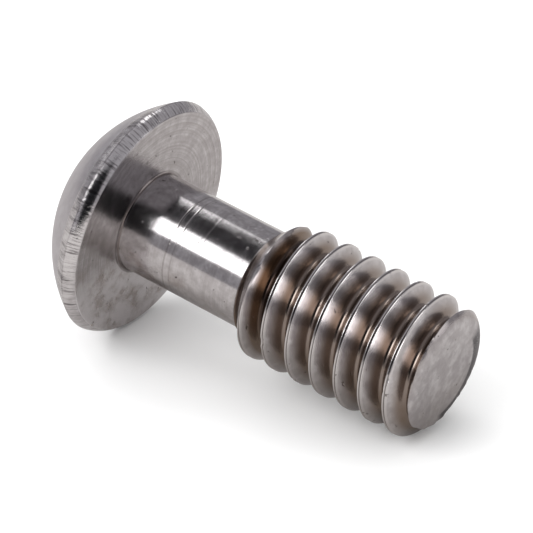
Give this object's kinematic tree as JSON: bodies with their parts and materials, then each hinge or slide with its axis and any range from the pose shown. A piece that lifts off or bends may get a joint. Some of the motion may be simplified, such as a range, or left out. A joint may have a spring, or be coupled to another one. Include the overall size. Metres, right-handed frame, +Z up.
{
  "type": "captive shoulder bolt",
  "caption": "Captive bolt in stainless steel: domed head with a hexagon socket, a plain shank thinner than its coarse right-hand thread, and a rounded tip. It clamps or retains a panel.",
  "frame": {"origin": "on the surface that the bolt lies on, under the centre of its box", "axes": "+X towards the thread's tip, along the bolt's length as seen from above; +Y across the bolt; +Z up. The bolt's own axis dips towards the tip by 8.7 degrees below +X, because it lies on the rim of its head and on its thread"},
  "size_m": [0.0196, 0.011, 0.011],
  "materials": {
    "steel": "turned and thread-rolled stainless steel: satin dome, bright turned shank and bearing face, darker satin thread flanks, light stains and pits"
  },
  "bodies": {
    "root": {"bolt": "steel"}
  },
  "joints": []
}
